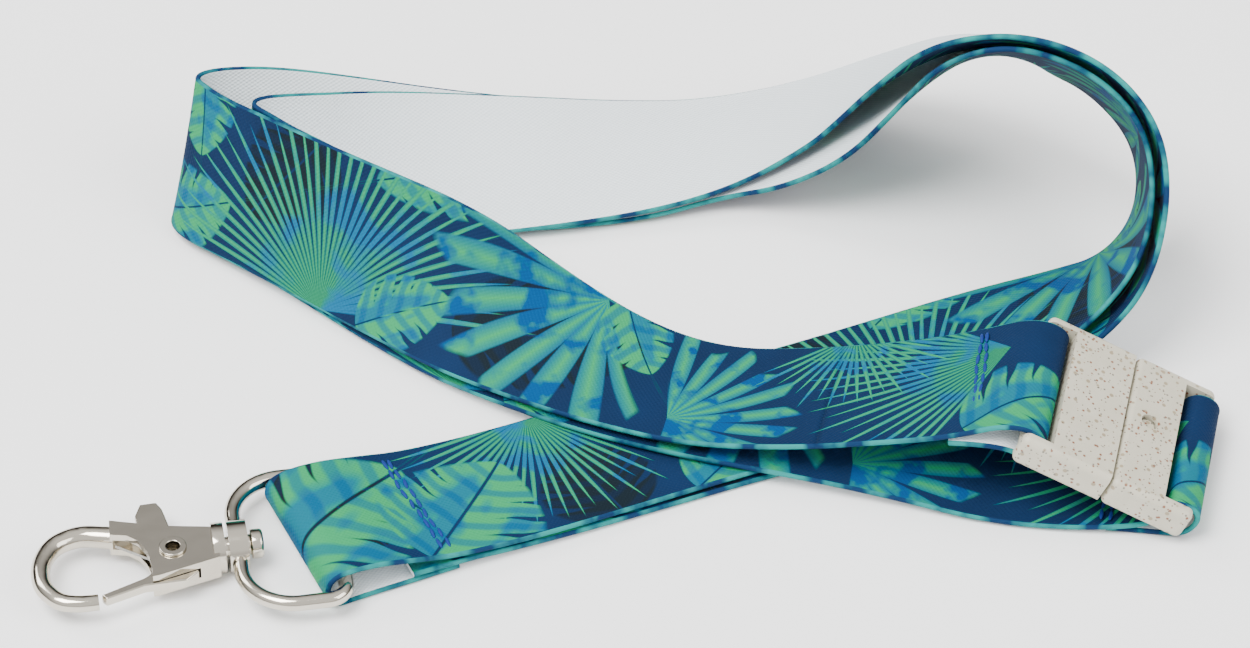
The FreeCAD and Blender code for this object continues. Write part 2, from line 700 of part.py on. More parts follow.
failed = [f"{o.Name} ({o.Label})" for o in doc.Objects if {"Invalid", "Error"} & set(o.State)]
if failed:
    raise RuntimeError("failed: " + ", ".join(failed))
os.makedirs("parts", exist_ok=True)
for obj in sub_parts:
    shape = obj.Shape
    if shape.isNull() or not shape.isValid():
        raise RuntimeError(f"{obj.Label} has no valid shape")
    shape.exportStep(f"parts/{obj.Label}.step")
    box = shape.BoundBox
    print(f"{obj.Label:22s} solids {len(shape.Solids):2d} volume {shape.Volume:9.2f}",
          [round(v, 1) for v in (box.XMin, box.XMax, box.YMin, box.YMax, box.ZMin, box.ZMax)])
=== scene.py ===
"""A neck lanyard: two printed straps, a swivel lobster hook on a D-ring and a breakaway buckle."""

import math

import bmesh
import bpy
from mathutils import Matrix, Vector


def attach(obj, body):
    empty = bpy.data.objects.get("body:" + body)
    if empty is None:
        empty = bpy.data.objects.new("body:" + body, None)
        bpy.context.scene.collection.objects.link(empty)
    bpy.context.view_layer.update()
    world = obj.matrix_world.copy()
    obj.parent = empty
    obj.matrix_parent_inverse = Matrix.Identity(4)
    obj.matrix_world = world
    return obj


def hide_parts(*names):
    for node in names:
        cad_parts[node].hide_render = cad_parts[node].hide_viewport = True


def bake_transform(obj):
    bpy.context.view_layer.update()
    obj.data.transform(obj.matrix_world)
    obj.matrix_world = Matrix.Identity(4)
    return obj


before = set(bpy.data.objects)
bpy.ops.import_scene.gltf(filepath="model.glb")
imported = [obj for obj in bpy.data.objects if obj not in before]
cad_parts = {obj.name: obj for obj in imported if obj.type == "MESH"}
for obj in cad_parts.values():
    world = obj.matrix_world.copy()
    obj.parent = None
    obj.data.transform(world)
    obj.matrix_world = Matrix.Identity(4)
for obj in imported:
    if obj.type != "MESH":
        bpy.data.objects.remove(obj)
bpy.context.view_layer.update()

MM = 0.001
STRAP_WIDTH = 20 * MM
STRAP_THICK = 0.72 * MM  # pressed webbing; the CAD band is 0.9 mm, which leaves the layers a gap
SELVEDGE = 0.35 * MM  # width of the woven edge bead
SPLINE_STEPS = 14  # points per station along a strap

# ---------------------------------------------------------------- routes, in millimetres
# Middle of the strap, then the bearing and the rise of its left edge in degrees.
UPPER_ROUTE = [
    (-25.0, -29.8, 0.5, 112, 0),
    (-31.4, -32.8, 0.5, 113, 0),
    (-36.0, -34.9, 0.5, 113, 0),
    (-40.2, -36.9, 0.5, 113, 0),
    (-40.2, -36.9, 4.9, 113, 0),
    (-35.0, -34.5, 5.0, 113, 0),
    (-29.6, -32.1, 3.7, 112, 0),
    (-24.8, -30.0, 2.5, 112, 0),
    (-16.0, -26.4, 2.0, 112, 0),
    (-5.0, -21.2, 1.6, 114, 0),
    (9.0, -14.8, 1.5, 114, 0),
    (23.0, -9.2, 1.5, 114, 0),
    (35.0, -3.8, 1.9, 114, -2),
    (45.5, 1.0, 3.4, 114, -11),
    (54.5, 4.2, 6.1, 112, -25),
    (61.0, 7.5, 9.6, 100, -37),
    (64.0, 13.5, 14.6, 90, -41),
    (63.0, 20.0, 19.8, 90, -42),
    (57.0, 25.0, 23.8, 90, -43),
    (49.0, 28.3, 25.2, 90, -43),
    (43.0, 30.5, 23.9, 90, -38),
    (37.0, 32.3, 18.0, 90, -33),
    (30.0, 34.0, 10.2, 90, -20),
    (21.5, 35.9, 4.6, 90, -9),
    (11.0, 37.8, 1.9, 90, -2),
    (0.0, 35.0, 2.1, 88, 6),
    (-12.0, 32.8, 3.7, 85, 16),
    (-25.0, 32.0, 5.1, 81, 25),
    (-37.0, 31.2, 7.0, 73, 37),
    (-47.0, 30.5, 8.9, 62, 52),
    (-56.8, 30.2, 10.2, 38, 64),
    (-55.9, 25.4, 10.3, 38, 65),
    (-47.3, 19.1, 10.4, 49, 65),
    (-35.3, 10.6, 10.1, 56, 59),
    (-24.1, 4.3, 8.7, 63, 41),
    (-13.0, -1.4, 5.2, 72, 15),
    (-2.0, -7.6, 3.8, 84, 1),
    (9.0, -12.0, 3.7, 90, -5),
    (21.0, -14.6, 5.8, 93, -6),
    (32.0, -16.5, 8.5, 92, -6),
    (40.0, -17.8, 10.9, 85, -3),
    (47.2, -19.4, 14.6, 79, 0),
    (51.5, -20.3, 12.8, 79, 0),
    (49.9, -19.9, 9.2, 79, 0),
    (45.4, -19.1, 11.0, 79, 0),
    (40.0, -17.9, 9.8, 83, -3),
]
LOWER_ROUTE = [
    (-30.2, -32.4, 1.5, 112, 0),
    (-24.8, -30.0, 1.5, 112, 0),
    (-16.0, -26.4, 1.0, 112, 0),
    (-5.0, -21.5, 0.6, 114, 0),
    (9.0, -15.3, 0.5, 114, 0),
    (23.0, -9.8, 0.55, 114, 0),
    (35.0, -4.8, 0.9, 114, -1),
    (46.0, -0.5, 2.4, 112, -10),
    (56.0, 2.0, 4.8, 105, -24),
    (62.5, 4.5, 8.6, 95, -36),
    (65.8, 11.5, 15.2, 90, -42),
    (64.8, 18.0, 21.0, 90, -43),
    (59.0, 24.0, 25.3, 90, -44),
    (51.0, 27.8, 26.8, 90, -44),
    (43.0, 32.0, 24.2, 90, -41),
    (35.5, 36.5, 17.4, 90, -33),
    (29.5, 39.5, 11.0, 90, -25),
    (22.0, 39.6, 6.2, 90, -14),
    (11.0, 37.4, 3.2, 90, -3),
    (0.0, 34.8, 3.3, 88, 6),
    (-12.0, 31.8, 4.9, 85, 16),
    (-24.0, 30.0, 5.9, 81, 26),
    (-34.0, 27.0, 7.6, 73, 38),
    (-41.0, 24.5, 9.3, 64, 52),
    (-49.2, 24.6, 10.2, 45, 64),
    (-47.5, 20.5, 9.9, 50, 64),
    (-41.6, 16.1, 9.4, 51, 61),
    (-33.6, 10.1, 8.8, 56, 56),
    (-23.7, 4.1, 7.0, 63, 41),
    (-12.9, -1.9, 4.0, 73, 15),
    (-2.0, -8.2, 2.7, 84, 2),
    (9.0, -12.2, 2.6, 84, 0),
    (21.0, -15.0, 2.6, 82, 2),
    (33.0, -18.0, 2.6, 80, 6),
    (45.0, -21.7, 2.4, 79, 11),
    (56.0, -22.9, 1.6, 79, 4),
    (64.6, -23.1, 1.6, 79, 0),
    (66.4, -23.5, 6.2, 79, 0),
    (70.1, -24.2, 4.5, 79, 0),
    (68.4, -23.8, 0.6, 79, 0),
    (63.5, -22.9, 0.5, 81, 0),
    (58.0, -22.3, 0.5, 84, 0),
]
PLUG_BLEND = (24 * MM, 47 * MM)  # x where the strap leaves the loop's body and where it follows the plug
CUT_BEFORE_BLEND = 0.5 * MM  # the upper strap is two pieces, cut this far before that stretch

# Each seam: its middle on the strap in millimetres, the bearing of its rows and the slope of the
# strap there in degrees, and how much a row leans along the strap.
RING_SEAM = ((-26.3, -30.7, 2.9), 112, -12, -0.1)
SOCKET_SEAM = ((58.4, -23.7, 1.55), 79, 0, 0)
PLUG_SEAM = ((42.0, -18.2, 11.9), 83, 24, 0)
STITCHES_IN_A_ROW = 9
STITCH_PITCH = 1.9 * MM
STITCH_LENGTH = 1.85 * MM
STITCH_WIDTH = 0.5 * MM
STITCH_HEIGHT = STITCH_WIDTH / 1.2
STITCH_ROW_GAP = 0.9 * MM
STITCH_SWAY = 0.12 * MM  # how far a stitch lies out of its row
STITCH_TURN = 0.10  # how far it is turned, in radians

# Hard pieces: what is merged and smoothed before their edges are broken.
SAME_POINT = 1e-6
FLAT_ANGLE = math.radians(0.6)
BROKEN_ANGLE = math.radians(32)
SMOOTH_ANGLE = math.radians(40)

# Camera: it looks along +Y and down, at a point in front of the loop.
CAMERA_TILT = math.radians(41)
CAMERA_DISTANCE = 0.8
CAMERA_AIM = (-1, 6, 0)  # millimetres
LENS_MM = 184.3
SENSOR_MM = 36


# ---------------------------------------------------------------- materials
# The Mix node's sockets when it mixes colours: the share, the two colours and the result.
SHARE, FIRST, SECOND, RESULT = 0, 6, 7, 2


def rgb(code):
    """An sRGB hex value as linear colour, opaque."""
    parts = [int(code[i : i + 2], 16) / 255 for i in (1, 3, 5)]
    return [c / 12.92 if c <= 0.04045 else ((c + 0.055) / 1.055) ** 2.4 for c in parts] + [1.0]


def add_node(tree, kind, *inputs, **settings):
    """Add a node. Its inputs are values, sockets or nodes in the order of its sockets, None to skip
    one, or pairs of a socket's number or name and what goes in."""
    node = tree.nodes.new("ShaderNode" + kind)
    for name, value in settings.items():
        if name in node.inputs:
            inputs = inputs + ((name, value),)
        else:
            setattr(node, name, value)
    for place, value in enumerate(inputs):
        if value is None:
            continue
        if isinstance(value, tuple) and len(value) == 2:
            place, value = value
        socket = node.inputs[place]
        if isinstance(value, bpy.types.Node):
            value = value.outputs[0]
        if isinstance(value, bpy.types.NodeSocket):
            tree.links.new(value, socket)
        else:
            socket.default_value = value
    return node


def new_material(name, base, roughness, metallic=0.0, **sockets):
    """A material with one Principled shader; returns it, its tree and its shader."""
    material = bpy.data.materials.new(name)
    material.use_nodes = True
    tree = material.node_tree
    shader = tree.nodes["Principled BSDF"]
    shader.inputs["Base Color"].default_value = rgb(base)
    shader.inputs["Roughness"].default_value = roughness
    shader.inputs["Metallic"].default_value = metallic
    for socket, value in sockets.items():
        shader.inputs[socket.replace("_", " ")].default_value = value
    return material, tree, shader


def weave_bump(tree, shader, pitch_along, pitch_across, depth):
    """Crossed ribs of webbing, on the strap's own map in millimetres. Real ribs lie 0.3 to 0.4 mm
    apart, which is too fine to show, so the pitches given here are coarser."""
    strap_map = add_node(tree, "UVMap", uv_map="strap")
    split = add_node(tree, "SeparateXYZ", strap_map)
    ribs = []
    for axis, pitch in ((0, pitch_along), (1, pitch_across)):
        turns = add_node(tree, "Math", split.outputs[axis], 2 * math.pi / pitch, operation="MULTIPLY")
        ribs.append(add_node(tree, "Math", turns, operation="SINE"))
    knots = add_node(tree, "Math", ribs[0], ribs[1], operation="MULTIPLY")
    fuzz = add_node(tree, "TexNoise", strap_map, Scale=3.0, Detail=4.0)  # fibres a third of a millimetre
    height = add_node(tree, "Math", knots, fuzz, operation="ADD")
    bump = add_node(tree, "Bump", Strength=0.35, Distance=depth, Height=height)
    tree.links.new(bump.outputs[0], shader.inputs["Normal"])
    return strap_map, knots


def leaf_space(tree, place, base, heading, length, half_width):
    """Coordinates of one leaf: 0 to 1 from its base to its tip, and -1 to 1 across it."""
    local = add_node(
        tree, "Mapping", place, (base[0], base[1], 0), (0, 0, math.radians(heading)),
        (length, half_width, 1), vector_type="TEXTURE",
    )
    split = add_node(tree, "SeparateXYZ", local)
    return local, split.outputs[0], split.outputs[1]


def edge(tree, value, sharp):
    """A mask that is 1 where value is above 0, with an edge 1/sharp wide."""
    return add_node(tree, "Math", value, sharp, 0.5, operation="MULTIPLY_ADD", use_clamp=True)


def fan_leaf(tree, ground, place, leaf, colours, join, taper):
    """A leaf of rays that spread from one point, joined near it and narrower to their tips."""
    base, heading, length, spread, rays = leaf
    dark, light, streak = colours
    local, along, across = leaf_space(tree, place, base, heading, length, length)
    reach = add_node(tree, "VectorMath", local, operation="LENGTH").outputs["Value"]
    turn = add_node(tree, "Math", across, along, operation="ARCTAN2")
    turn = add_node(tree, "Math", turn, 1 / math.radians(spread), operation="MULTIPLY")
    count = add_node(tree, "Math", turn, rays, operation="MULTIPLY")
    ridge = add_node(tree, "Math", count, 1.0, operation="PINGPONG")
    # each ray is up to 9% of the leaf longer or shorter
    waver = add_node(tree, "Math", count, 1.7, operation="MULTIPLY")
    waver = add_node(tree, "Math", waver, operation="SINE")
    longer = add_node(tree, "Math", waver, 0.09, reach, operation="MULTIPLY_ADD")
    room = add_node(tree, "Math", longer, -taper, join, operation="MULTIPLY_ADD")
    mask = edge(tree, add_node(tree, "Math", room, ridge, operation="SUBTRACT"), 9)
    # nothing grows outside the spread or past the tips
    beside = add_node(tree, "Math", turn, operation="ABSOLUTE")
    for limit, sharp in ((beside, 30), (longer, 25)):
        inside = edge(tree, add_node(tree, "Math", 1.0, limit, operation="SUBTRACT"), sharp)
        mask = add_node(tree, "Math", mask, inside, operation="MULTIPLY")
    # light along each ray and dark at its edges, with streaks in patches and towards the tips
    green = add_node(tree, "Mix", (SHARE, ridge), (FIRST, rgb(light)), (SECOND, rgb(dark)), data_type="RGBA")
    patch = add_node(tree, "TexNoise", local, Scale=3.2, Detail=3.0)
    patch = edge(tree, add_node(tree, "Math", patch, 0.55, operation="SUBTRACT"), 9)
    tips = add_node(tree, "Math", ridge, reach, operation="MULTIPLY")
    streaks = add_node(tree, "Math", patch, tips, operation="MAXIMUM")
    colour = add_node(
        tree, "Mix", (SHARE, streaks), (FIRST, green.outputs[RESULT]), (SECOND, rgb(streak)), data_type="RGBA"
    ).outputs[RESULT]
    return add_node(
        tree, "Mix", (SHARE, mask), (FIRST, ground), (SECOND, colour), data_type="RGBA"
    ).outputs[RESULT]


def slit_leaf(tree, ground, place, leaf, colours):
    """A rounded, pointed leaf with slits from its edge towards its midrib and patches of colour."""
    base, heading, length, width, lobes = leaf
    light, mid, cool = colours
    local, along, across = leaf_space(tree, place, base, heading, length, width / 2)
    off = add_node(tree, "Math", across, operation="ABSOLUTE")
    # the outline bulges from base to tip and is widest at 0.41 of the length
    bow = add_node(tree, "Math", along, 0.78, operation="POWER")
    bow = add_node(tree, "Math", bow, math.pi, operation="MULTIPLY")
    bow = add_node(tree, "Math", bow, operation="SINE")
    bow = add_node(tree, "Math", bow, 0.72, operation="POWER")
    mask = edge(tree, add_node(tree, "Math", bow, off, operation="SUBTRACT"), 14)
    # the slits lean towards the tip, waver a little and stop short of the midrib
    lean = add_node(tree, "Math", off, -0.22, along, operation="MULTIPLY_ADD")
    bend = add_node(tree, "TexNoise", local, Scale=1.6, Detail=1.0)
    lean = add_node(tree, "Math", bend, 0.10, lean, operation="MULTIPLY_ADD")
    step = add_node(tree, "Math", lean, 2 * lobes, operation="MULTIPLY")
    ridge = add_node(tree, "Math", step, 1.0, operation="PINGPONG")
    slit = add_node(tree, "Math", off, 0.75, -0.28, operation="MULTIPLY_ADD")
    slit = add_node(tree, "Math", slit, 0.5, operation="MINIMUM")
    lobe = edge(tree, add_node(tree, "Math", ridge, slit, operation="SUBTRACT"), 9)
    # the midrib is a fine line of the ground, and nothing grows behind the base
    rib = edge(tree, add_node(tree, "Math", off, 0.02, operation="SUBTRACT"), 60)
    ahead = add_node(tree, "Math", along, 0.0, operation="GREATER_THAN")
    for part in (lobe, rib, ahead):
        mask = add_node(tree, "Math", mask, part, operation="MULTIPLY")
    # two greens in large patches, and a cool shade along the middle of each lobe
    wash = add_node(tree, "TexNoise", local, Scale=1.5, Detail=2.0)
    wash = edge(tree, add_node(tree, "Math", wash, 0.5, operation="SUBTRACT"), 12)
    green = add_node(tree, "Mix", (SHARE, wash), (FIRST, rgb(mid)), (SECOND, rgb(light)), data_type="RGBA")
    vein = edge(tree, add_node(tree, "Math", ridge, 0.62, operation="SUBTRACT"), 4)
    vein = add_node(tree, "Math", vein, 0.55, operation="MULTIPLY")
    colour = add_node(
        tree, "Mix", (SHARE, vein), (FIRST, green.outputs[RESULT]), (SECOND, rgb(cool)), data_type="RGBA"
    ).outputs[RESULT]
    return add_node(
        tree, "Mix", (SHARE, mask), (FIRST, ground), (SECOND, colour), data_type="RGBA"
    ).outputs[RESULT]


PALM_LIGHT, PALM_DARK, PALM_STREAK = "#1C8656", "#044A3A", "#03587C"
LEAF_LIGHT, LEAF_MID, LEAF_COOL = "#1C8854", "#005E70", "#003E70"
SHADOW_LEAF, NAVY_DEEP, NAVY = "#0B1820", "#051A33", "#08264A"
PRINT_START, PRINT_REPEAT = -12.0, 210.0  # the roller's turn, in millimetres of strap

# Fans: their colours, how far from the base their rays are joined and how fast they narrow.
FANS = {
    "palm": ((PALM_DARK, PALM_LIGHT, PALM_STREAK), 1.16, 1.15),
    "split": ((LEAF_MID, LEAF_LIGHT, LEAF_COOL), 1.25, 0.78),
}
# Slit leaves: their colours.
SLIT_LEAVES = {
    "leaf": (LEAF_LIGHT, LEAF_MID, LEAF_COOL),
    "shadow": (SHADOW_LEAF, SHADOW_LEAF, NAVY_DEEP),
}

# Each leaf: form, base along and across the strap, heading, length, width or spread, lobes or rays.
LEAVES = [
    ("shadow", (22, 10), -70, 18, 17, 5),
    ("shadow", (58, -11), 100, 15, 15, 5),
    ("shadow", (116, -4), 20, 25, 17, 6),
    ("shadow", (92, 11), -120, 16, 14, 5),
    ("leaf", (8, -8), 28, 31, 26, 6),
    ("palm", (54, 10.5), -98, 19, 78, 27),
    ("leaf", (33, -10), 44, 20, 21, 6),
    ("leaf", (68, -10), 30, 15, 12, 5),
    ("leaf", (72, 12), -75, 11, 10, 4),
    ("palm", (98, -10), 97, 27, 80, 35),
    ("leaf", (104, -9.5), 38, 13, 10, 5),
    ("split", (131, 9.5), 232, 21, 74, 8),
    ("leaf", (133, 11), -50, 13, 10, 4),
    ("split", (146, -6), 12, 15, 95, 11),
    ("palm", (187, 5), 194, 25, 50, 21),
    ("leaf", (183, -9), 32, 17, 14, 5),
    ("palm", (166, 12), -80, 14, 70, 19),
]


def printed_webbing(name, shift):
    """Polyester webbing, dye-sublimation printed: matt, soft colours, fine ribs, a tropical pattern
    that starts shift millimetres into its repeat."""
    material, tree, shader = new_material(name, "#173A5C", 0.8, Specular_IOR_Level=0.12)
    strap_map, knots = weave_bump(tree, shader, 0.62, 0.62, 0.08 * MM)
    split = add_node(tree, "SeparateXYZ", strap_map)
    moved = add_node(tree, "Math", split.outputs[0], shift, operation="ADD")
    turned = add_node(tree, "Math", moved, PRINT_START + PRINT_REPEAT, PRINT_START, operation="WRAP")
    place = add_node(tree, "CombineXYZ", turned, split.outputs[1])
    mottle = add_node(tree, "TexNoise", place, Scale=0.09, Detail=2.0)  # clouds 11 mm across
    colour = add_node(
        tree, "Mix", (SHARE, mottle), (FIRST, rgb(NAVY_DEEP)), (SECOND, rgb(NAVY)), data_type="RGBA"
    ).outputs[RESULT]
    for form, *leaf in LEAVES:
        if form in FANS:
            colour = fan_leaf(tree, colour, place, leaf, *FANS[form])
        else:
            colour = slit_leaf(tree, colour, place, leaf, SLIT_LEAVES[form])
    # painted shade: the ribs' hollows are a little darker than their tops
    grain_and_rib_shade = add_node(tree, "Math", knots, 0.035, 0.965, operation="MULTIPLY_ADD")
    colour = add_node(tree, "VectorMath", colour, operation="SCALE", Scale=grain_and_rib_shade)
    tree.links.new(colour.outputs[0], shader.inputs["Base Color"])
    return material


def white_webbing():
    """The unprinted back of the webbing: bleached polyester, matt, with fine ribs across it."""
    material, tree, shader = new_material("white polyester webbing", "#DDE4E8", 0.85, Specular_IOR_Level=0.2)
    knots = weave_bump(tree, shader, 0.7, 0.5, 0.10 * MM)[1]
    shade = add_node(tree, "Math", knots, 0.5, 0.5, operation="MULTIPLY_ADD")
    white = add_node(
        tree, "Mix", (SHARE, shade), (FIRST, rgb("#CBD5DA")), (SECOND, rgb("#E3E9EC")), data_type="RGBA"
    )
    tree.links.new(white.outputs[RESULT], shader.inputs["Base Color"])
    return material


def selvedge_webbing():
    """The woven edge, where the dye of the print bleeds round: teal to navy in short stretches."""
    material, tree, shader = new_material("dyed selvedge", "#1C5A70", 0.8, Specular_IOR_Level=0.12)
    strap_map = add_node(tree, "UVMap", uv_map="strap")
    stretch = add_node(tree, "TexNoise", strap_map, Scale=0.22, Detail=3.0)  # 4.5 mm long
    share = edge(tree, add_node(tree, "Math", stretch, 0.5, operation="SUBTRACT"), 6)
    dye = add_node(
        tree, "Mix", (SHARE, share), (FIRST, rgb("#0B2B4E")), (SECOND, rgb("#1F7F7C")), data_type="RGBA"
    )
    tree.links.new(dye.outputs[RESULT], shader.inputs["Base Color"])
    return material


def sewing_thread():
    """Twisted polyester thread: deep blue, matt, with fine plies."""
    material, tree, shader = new_material("polyester sewing thread", "#14308A", 0.7, Specular_IOR_Level=0.2)
    place = add_node(tree, "TexCoord").outputs["Object"]
    plies = add_node(tree, "TexWave", place, Scale=2600.0, Distortion=1.0)  # bands 0.12 mm apart
    # painted shade: the hollows between the plies are a darker blue than their crests
    blue = add_node(
        tree, "Mix", (SHARE, plies), (FIRST, rgb("#0A1B54")), (SECOND, rgb("#173E8C")), data_type="RGBA"
    )
    tree.links.new(blue.outputs[RESULT], shader.inputs["Base Color"])
    bump = add_node(tree, "Bump", Strength=0.5, Distance=0.05 * MM, Height=plies)
    tree.links.new(bump.outputs[0], shader.inputs["Normal"])
    return material


def nickel_plate():
    """Zinc die-casting, tumbled and bright nickel plated: warm white, near mirror, faintly wavy."""
    material, tree, shader = new_material("bright nickel on zinc", "#C9C2B4", 0.13, 1.0)
    place = add_node(tree, "TexCoord").outputs["Object"]
    cloud = add_node(tree, "TexNoise", place, Scale=500.0, Detail=4.0)  # tumbled grain, 2 mm
    rough = add_node(tree, "Math", cloud, 0.14, 0.06, operation="MULTIPLY_ADD")
    tree.links.new(rough.outputs[0], shader.inputs["Roughness"])
    ripple = add_node(tree, "TexNoise", place, Scale=330.0, Detail=1.0)  # casting ripples, 3 mm
    bump = add_node(tree, "Bump", Strength=0.25, Distance=0.12 * MM, Height=ripple)
    tree.links.new(bump.outputs[0], shader.inputs["Normal"])
    return material


def spring_wire():
    """Drawn stainless wire: grey, satin, with fine grain from the die."""
    material, tree, shader = new_material("drawn spring wire", "#A7A6A2", 0.3, 1.0)
    place = add_node(tree, "TexCoord").outputs["Object"]
    grain_and_rib_shade = add_node(tree, "TexNoise", place, Scale=4000.0, Detail=2.0)  # 0.25 mm
    rough = add_node(tree, "Math", grain_and_rib_shade, 0.2, 0.2, operation="MULTIPLY_ADD")
    tree.links.new(rough.outputs[0], shader.inputs["Roughness"])
    return material


# Flecks of straw in the plastic: size across in millimetres, share that shows, colour.
FLECKS = (
    (0.6, 0.2, "#93866E"),
    (0.42, 0.18, "#7D4F38"),
    (0.38, 0.16, "#6F6A60"),
    (0.3, 0.13, "#4F2F22"),
)


def straw_plastic():
    """Polypropylene filled with ground wheat straw: warm beige, matt, with brown and grey flecks."""
    material, tree, shader = new_material("wheat-straw polypropylene", "#CDC8B8", 0.5)
    place = add_node(tree, "TexCoord").outputs["Object"]
    cloud = add_node(tree, "TexNoise", place, Scale=260.0, Detail=5.0)  # clouds 4 mm across
    colour = add_node(
        tree, "Mix", (SHARE, cloud), (FIRST, rgb("#ADA894")), (SECOND, rgb("#C4BFAE")), data_type="RGBA"
    ).outputs[RESULT]
    for size_mm, share, tone in FLECKS:
        shards = add_node(tree, "TexVoronoi", place, Scale=1000 / (2.3 * size_mm), Randomness=1.0)
        speck = add_node(tree, "Math", share, shards.outputs["Distance"], operation="SUBTRACT")
        speck = edge(tree, speck, 14)
        colour = add_node(
            tree, "Mix", (SHARE, speck), (FIRST, colour), (SECOND, rgb(tone)), data_type="RGBA"
        ).outputs[RESULT]
    tree.links.new(colour, shader.inputs["Base Color"])
    skin = add_node(tree, "TexNoise", place, Scale=1800.0, Detail=3.0)  # the mould's grain, 0.6 mm
    bump = add_node(tree, "Bump", Strength=0.25, Distance=0.06 * MM, Height=skin)
    tree.links.new(bump.outputs[0], shader.inputs["Normal"])
    return material


# ---------------------------------------------------------------- straps
PRINT_SIDE, WHITE_SIDE, EDGE_SIDE = 0, 1, 2  # places in a strap's list of materials
EDGE_FROM = 0.985  # share of the half width where the selvedge's colour begins
FACE_STEPS = 10


def across_vector(bearing, rise):
    """The direction of a strap's left edge, from degrees."""
    turn, lift = math.radians(bearing), math.radians(rise)
    return Vector((math.cos(lift) * math.cos(turn), math.cos(lift) * math.sin(turn), math.sin(lift)))


def strap_edge(station, neighbours, side):
    """Where a line along the strap runs at a station: side is -1 right, 0 middle or 1 left."""
    x, y, z, bearing, rise = station
    left = across_vector(bearing, rise)
    heading = (Vector(neighbours[1][:3]) - Vector(neighbours[0][:3])).normalized()
    left = (left - heading * left.dot(heading)).normalized()
    return (Vector((x, y, z)) * MM) + left * (side * STRAP_WIDTH / 2)


def spline_points(name, places):
    """Points along the smooth NURBS line through a list of control points."""
    curve = bpy.data.curves.new(name, "CURVE")
    curve.dimensions = "3D"
    curve.resolution_u = SPLINE_STEPS
    spline = curve.splines.new("NURBS")
    spline.points.add(len(places) - 1)
    for point, place in zip(spline.points, places):
        point.co = (*place, 1)
    spline.order_u = 3
    spline.use_endpoint_u = True
    holder = bpy.data.objects.new(name, curve)
    mesh = bpy.data.meshes.new_from_object(holder)
    points = [v.co.copy() for v in mesh.vertices]
    bpy.data.meshes.remove(mesh)
    bpy.data.objects.remove(holder)
    bpy.data.curves.remove(curve)
    return points


def strap_lines(name, route):
    """The strap's right edge, middle and left edge as points, and the length so far in millimetres."""
    lines = []
    for side in (-1, 0, 1):
        places = []
        for i, station in enumerate(route):
            around = (route[max(i - 1, 0)], route[min(i + 1, len(route) - 1)])
            places.append(strap_edge(station, around, side))
        lines.append(spline_points(name + "_line", places))
    run = [0.0]
    for a, b in zip(lines[1], lines[1][1:]):
        run.append(run[-1] + (b - a).length / MM)
    return lines, run


def strap_section():
    """One face of the section: places across (-1 to 1) and shares of the half thickness. The beads
    of the selvedge are full thickness, and the face between them is a tenth thinner."""
    bead = SELVEDGE / (STRAP_WIDTH / 2)
    flat = [-1 + bead * 1.6 + (2 - bead * 3.2) * k / FACE_STEPS for k in range(FACE_STEPS + 1)]
    face = [(-1 + bead * 0.3, 0.75), (-1 + bead * 0.9, 1.0)] + [(u, 0.9) for u in flat]
    face += [(1 - bead * 0.9, 1.0), (1 - bead * 0.3, 0.75)]
    return face


def make_strap(name, lines, run, first, last, materials):
    """A closed band between two places on its line: print side, white side and beaded edges."""
    right, middle, left = lines
    face = strap_section()
    ring = [(1.0, 0.0, EDGE_SIDE)] + [(u, t, PRINT_SIDE) for u, t in reversed(face)]
    ring += [(-1.0, 0.0, EDGE_SIDE)] + [(u, -t, WHITE_SIDE) for u, t in face]
    mesh = bpy.data.meshes.new(name)
    shape = bmesh.new()
    strap_map = shape.loops.layers.uv.new("strap")
    half = STRAP_WIDTH / 2
    rows = []
    for i in range(first, last + 1):
        ahead = middle[min(i + 1, len(middle) - 1)] - middle[max(i - 1, 0)]
        across = (left[i] - right[i]).normalized()
        normal = ahead.normalized().cross(across).normalized()
        centre = (left[i] + right[i]) / 2
        rows.append([
            shape.verts.new(centre + across * (u * half) + normal * (t * STRAP_THICK / 2)) for u, t, _ in ring
        ])
    for i in range(len(rows) - 1):
        for k in range(len(ring)):
            n = (k + 1) % len(ring)
            quad = shape.faces.new((rows[i][k], rows[i][n], rows[i + 1][n], rows[i + 1][k]))
            quad.smooth = True
            at_edge = max(abs(ring[k][0]), abs(ring[n][0])) > EDGE_FROM
            quad.material_index = EDGE_SIDE if at_edge else ring[k][2]
            for loop, (row, column) in zip(quad.loops, ((i, k), (i, n), (i + 1, n), (i + 1, k))):
                loop[strap_map].uv = (run[first + row], ring[column][0] * STRAP_WIDTH / 2 / MM)
    shape.faces.new(list(reversed(rows[0]))).material_index = WHITE_SIDE
    shape.faces.new(rows[-1]).material_index = WHITE_SIDE
    bmesh.ops.recalc_face_normals(shape, faces=shape.faces)
    shape.to_mesh(mesh)
    shape.free()
    for material in materials:
        mesh.materials.append(material)
    strap = bpy.data.objects.new(name, mesh)
    bpy.context.scene.collection.objects.link(strap)
    return strap


